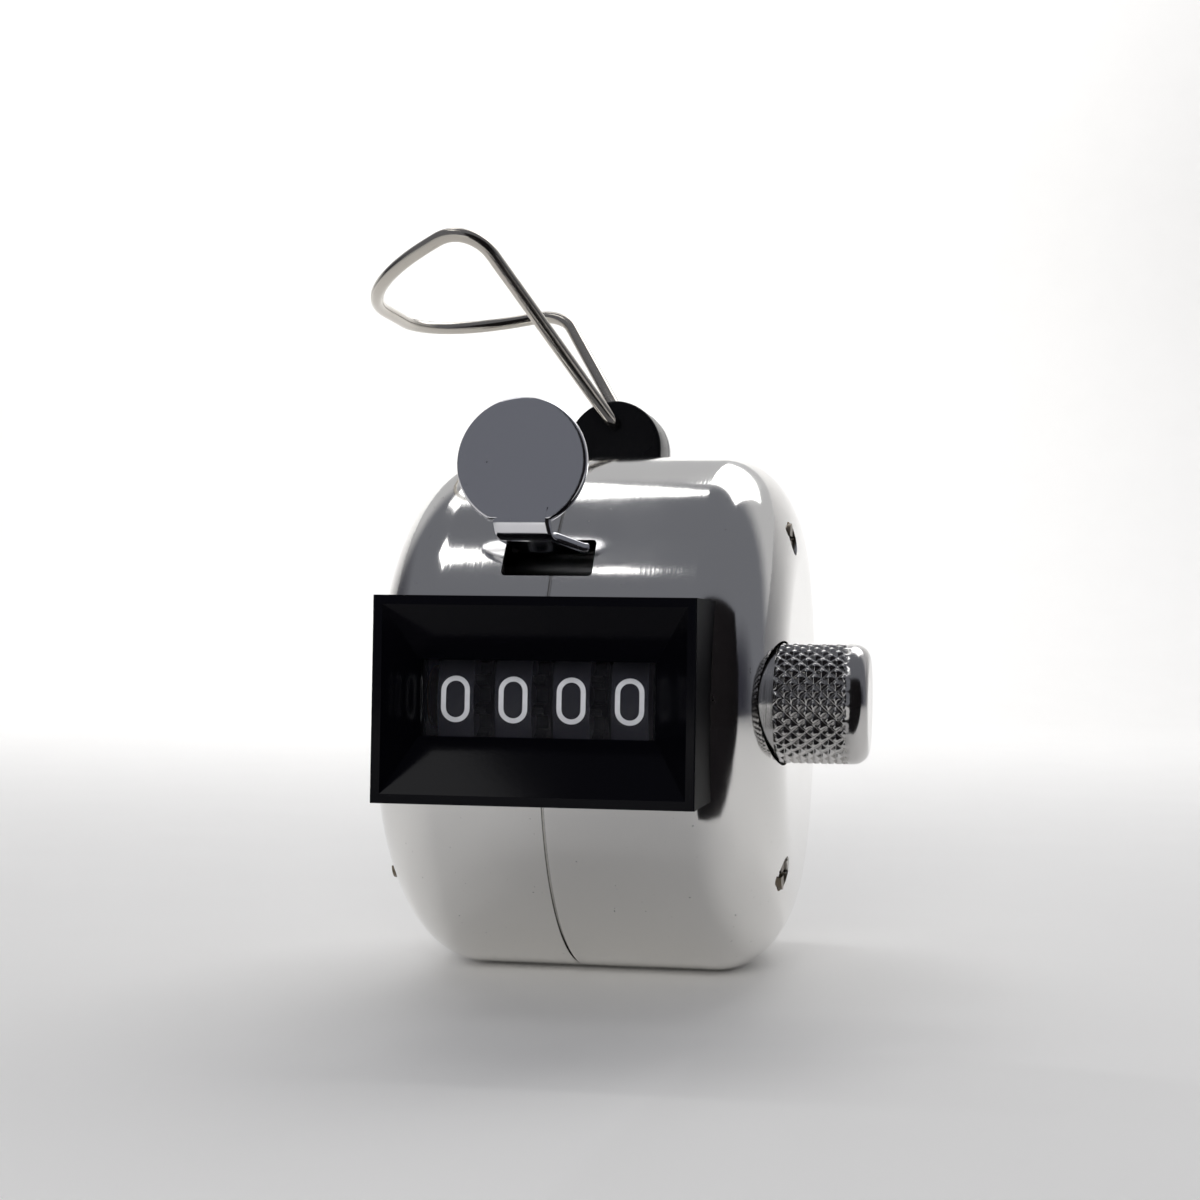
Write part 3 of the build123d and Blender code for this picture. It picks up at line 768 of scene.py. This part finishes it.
def rounded_run(corners, radii, step):
    """Points along straight runs joined by tangent arcs. At each corner the arc starts r tan(a / 2) before
    it, where a is the turn there."""
    corners = np.asarray(corners, float)
    parts = [corners[:1]]
    for k, radius in enumerate(radii, start=1):
        back = corners[k - 1] - corners[k]
        ahead = corners[k + 1] - corners[k]
        back /= np.linalg.norm(back)
        ahead /= np.linalg.norm(ahead)
        turn = math.pi - math.acos(float(back @ ahead))
        reach = radius * math.tan(turn / 2)
        middle = (back + ahead) / np.linalg.norm(back + ahead)
        centre = corners[k] + middle * radius / math.cos(turn / 2)
        first = (corners[k] + back * reach - centre) / radius
        last = (corners[k] + ahead * reach - centre) / radius
        along = np.linspace(0.0, 1.0, max(5, int(radius * turn / step)))[:, None]
        swing = np.sin((1 - along) * turn) * first + np.sin(along * turn) * last
        parts.append(centre + radius * swing / math.sin(turn))
    parts.append(corners[-1:])
    return np.concatenate(parts)


def resampled(path, step):
    """The same line with a point about every step."""
    gaps = np.linalg.norm(np.diff(path, axis=0), axis=1)
    at = np.concatenate([[0.0], np.cumsum(gaps)])
    wanted = np.linspace(0.0, at[-1], int(at[-1] / step) + 2)
    return np.stack([np.interp(wanted, at, path[:, k]) for k in range(path.shape[1])], axis=-1)


def tongue():
    """Flat tongue, carried along the side view's bends while its width and middle slide from the pad's chord
    to the slot. Its section runs through (w sqrt cos t, h min(1, 1.3 sqrt sin t)), with their signs kept."""
    crease_z = bend_z + 1.0 * MM
    corners = [(-7.6 * MM, 14.1 * MM), (-17.9 * MM, 13.45 * MM), (bend_y + 0.27 * MM, bend_z),
               (bend_y + 0.10 * MM, crease_z), (bend_y + 0.22 * MM, crease_z + 1.14 * MM)]
    side = resampled(rounded_run(corners, [1.0 * MM, 0.62 * MM, 0.3 * MM], 0.05 * MM), 0.1 * MM)
    run = np.gradient(side, axis=0)
    run /= np.linalg.norm(run, axis=1)[:, None]
    across = np.stack([-run[:, 1], run[:, 0]], axis=-1)
    slide = np.clip((side[:, :1] - bend_y) / (2.25 * MM), 0.0, 1.0)
    left, right = 10.9 * MM + slide * 1.9 * MM, 15.5 * MM + slide * 2.9 * MM
    steps = 24
    turn = np.linspace(0.0, 2 * math.pi, steps, endpoint=False)
    edge = np.sign(np.cos(turn)) * np.abs(np.cos(turn)) ** 0.5
    face = np.sign(np.sin(turn)) * np.minimum(1.0, 1.3 * np.abs(np.sin(turn)) ** 0.5) * sheet_t / 2
    x = (left + right) / 2 + edge * (right - left) / 2
    y = side[:, :1] + across[:, :1] * face
    z = side[:, 1:] + across[:, 1:] * face
    points = np.stack([x, y, z], axis=-1)
    caps = [np.broadcast_to(end.mean(axis=0), (1, steps, 3)) for end in (points[0], points[-1])]
    points = np.concatenate([caps[0], points, caps[1]])
    return points.reshape(-1, 3), grid_faces(len(points), steps, True)


pad_points, pad_faces = pad_disc()
tongue_points, tongue_faces = tongue()
lever = place_mesh("thumb_lever_pressed", np.concatenate([pad_points, tongue_points]),
                   np.concatenate([pad_faces, tongue_faces + len(pad_points)]))
tidy(lever, 45.0)
lever.data.materials.append(chrome("lever_chrome", (0.76, 0.76, 0.79), 0.12, 0.25, 0.3))
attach(lever, "thumb_lever")
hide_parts("thumb_lever")


# ======================================================================================
# Finger ring: one length of nickel-plated spring wire. Both ends go into the holder's
# hole; two legs spread from it and the head bends over to lie round a finger.
# ======================================================================================
wire_r = 0.62 * MM


def wire_tube(name, path, radius, sides=20):
    """A round section carried along a path: each ring of points lies in the plane across the path there.
    The path never runs along aside, from which the ring's two directions are worked out."""
    run = np.gradient(path, axis=0)
    run /= np.linalg.norm(run, axis=1)[:, None]
    aside = np.array([0.6, 0.0, 0.8])
    level = np.cross(run, aside)
    level /= np.linalg.norm(level, axis=1)[:, None]
    rise = np.cross(run, level)
    turn = np.linspace(0.0, 2 * math.pi, sides, endpoint=False)
    spokes = np.cos(turn)[:, None] * level[:, None] + np.sin(turn)[:, None] * rise[:, None]
    caps = [np.broadcast_to(end, (1, sides, 3)) for end in (path[0], path[-1])]
    rings = np.concatenate([caps[0], path[:, None] + radius * spokes, caps[1]])
    return tidy(place_mesh(name, rings.reshape(-1, 3), grid_faces(len(rings), sides, True)), 50.0)


ring_corners = np.array([
    (15.6, 8.7, 26.4), (15.6, 5.0, 26.4), (5.4, -8.7, 42.1), (-6.9, -3.0, 37.3),
    (-6.9, 22.9, 37.3), (6.2, 26.1, 40.3), (15.6, 13.6, 26.4), (15.6, 9.7, 26.4)]) * MM
ring_bends = np.array([1.3, 3.3, 15.2, 12.8, 3.3, 1.3]) * MM
ring_step = 0.3 * MM
ring_path = resampled(rounded_run(ring_corners, ring_bends, ring_step), ring_step)
ring = wire_tube("finger_ring_wire", ring_path, wire_r)
ring.data.materials.append(chrome("wire_nickel", (0.60, 0.565, 0.51), 0.16, 0.15, 0.4))
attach(ring, "finger_ring")
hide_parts("finger_ring")


# ======================================================================================
# Ring holder: a black boss on the drum's top rear, rounded over, with the ring's hole
# through it from front to back, and a plated cap of the same outline behind it.
# ======================================================================================
boss_r = 4.4 * MM
boss_z = 24.1 * MM
boss_front, boss_back, cap_back = 6.2 * MM, 11.6 * MM, 12.6 * MM


def boss(name, low, high, skirt, rounding):
    """An outline carried along Y with rounded end edges. It is a circle above the middle and, below it,
    straight sides for a skirt or the same circle for a disc. The foot follows z = sqrt(r^2 - y^2)."""
    steps, sunk = 96, 0.05 * MM
    turn = np.linspace(0.0, 2 * math.pi, steps, endpoint=False)
    roll = np.linspace(0.0, 0.5 * math.pi, 7)
    from_end, from_side = rounding * (1 - np.sin(roll)), rounding * (1 - np.cos(roll))
    y = np.concatenate([[low], low + from_end[::-1], high - from_end, [high]])
    reach = boss_r - np.concatenate([[boss_r], from_side[::-1], from_side, [boss_r]])[:, None]
    side, rise = reach * np.cos(turn), reach * np.sin(turn)
    if skirt:
        below = np.sin(turn) < 0
        straight_side = np.sign(np.cos(turn)) * reach
        side = np.where(below & (np.abs(np.cos(turn)) > 0.35), straight_side, side)
        rise = np.where(below, rise * 1.6, rise)
    drum = np.sqrt(drum_r ** 2 - y ** 2)[:, None] - sunk
    z = np.maximum(boss_z + rise, drum)
    points = np.stack([seam_x + side, np.broadcast_to(y[:, None], side.shape), z], axis=-1)
    return tidy(place_mesh(name, points.reshape(-1, 3), grid_faces(len(y), steps, True)), 40.0)


def put(piece, material, body, slot, *nodes):
    """Material, body, slot (not used) and the CAD nodes that the piece stands for."""
    piece.data.materials.clear()
    piece.data.materials.append(material)
    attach(piece, body)
    if nodes:
        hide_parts(*nodes)


def moulding(name, colour, dull, grain):
    """Moulded plastic: even colour with a faint flow pattern, dust-dull patches and a fine grain."""
    material, place = start_material(name)
    flow = noise(place, 90.0, 3.0)
    fine = noise(place, 2600.0, 2.0)
    tint = flow.mix((*colour, 1), tuple(1.7 * c for c in colour) + (1,))
    return surface(material, place, {"Base Color": tint, "Roughness": dull + flow.step(0.4, 0.8) * 0.08,
                                     "Specular IOR Level": 0.14,
                                     "Normal": bump(fine, grain, 0.00003)})


holder_black = moulding("holder_black", (0.0025, 0.0025, 0.003), 0.24, 0.25)
put(boss("ring_holder_boss", boss_front, boss_back, True, 0.35 * MM), holder_black, "casing", "black_plastic",
    "ring_holder")
cap_chrome = chrome("cap_chrome", (0.74, 0.74, 0.74), 0.2, 0.2, 0.4)
put(boss("holder_cap_disc", boss_back, cap_back, False, 0.25 * MM), cap_chrome, "casing", "chrome",
    "holder_cap")


# ======================================================================================
# Inside: sheet and bar of zinc-plated steel, brass bushes and washers, nylon pinions and
# spring steel, all on the CAD's own shapes. Little of it shows through the slot.
# ======================================================================================
def bare_metal(name, colour, dull, lines):
    """Cut or drawn metal: a brushed grain along X and cloudy tarnish."""
    material, place = start_material(name)
    grain = noise(place, 1.0, 2.0, (lines * 0.1, lines, lines))
    tarnish = noise(place, 240.0, 3.0).step(0.35, 0.75)
    tint = tarnish.mix((*colour, 1), tuple(0.72 * c for c in colour) + (1,))
    return surface(material, place, {"Base Color": tint, "Metallic": 1.0, "Roughness": dull + grain * 0.15,
                                     "Normal": bump(grain, 0.3, 0.00002)})


inside_finish = {
    "plated_steel": bare_metal("zinc_plate", (0.58, 0.58, 0.56), 0.32, 2400.0),
    "spring_steel": bare_metal("spring_wire", (0.42, 0.42, 0.43), 0.25, 3000.0),
    "brass": bare_metal("turned_brass", (0.72, 0.52, 0.24), 0.28, 2600.0),
    "nylon": moulding("natural_nylon", (0.42, 0.41, 0.37), 0.45, 0.2),
}
for part in frame["record"]["subparts"]:
    if part["material_slot"] in inside_finish:
        node = frame["nodes"][part["node"]]
        node.data.materials.clear()
        node.data.materials.append(inside_finish[part["material_slot"]])

{"cad": [list(corner) for corner in cad_box], "visual": [list(corner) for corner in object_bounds()]}
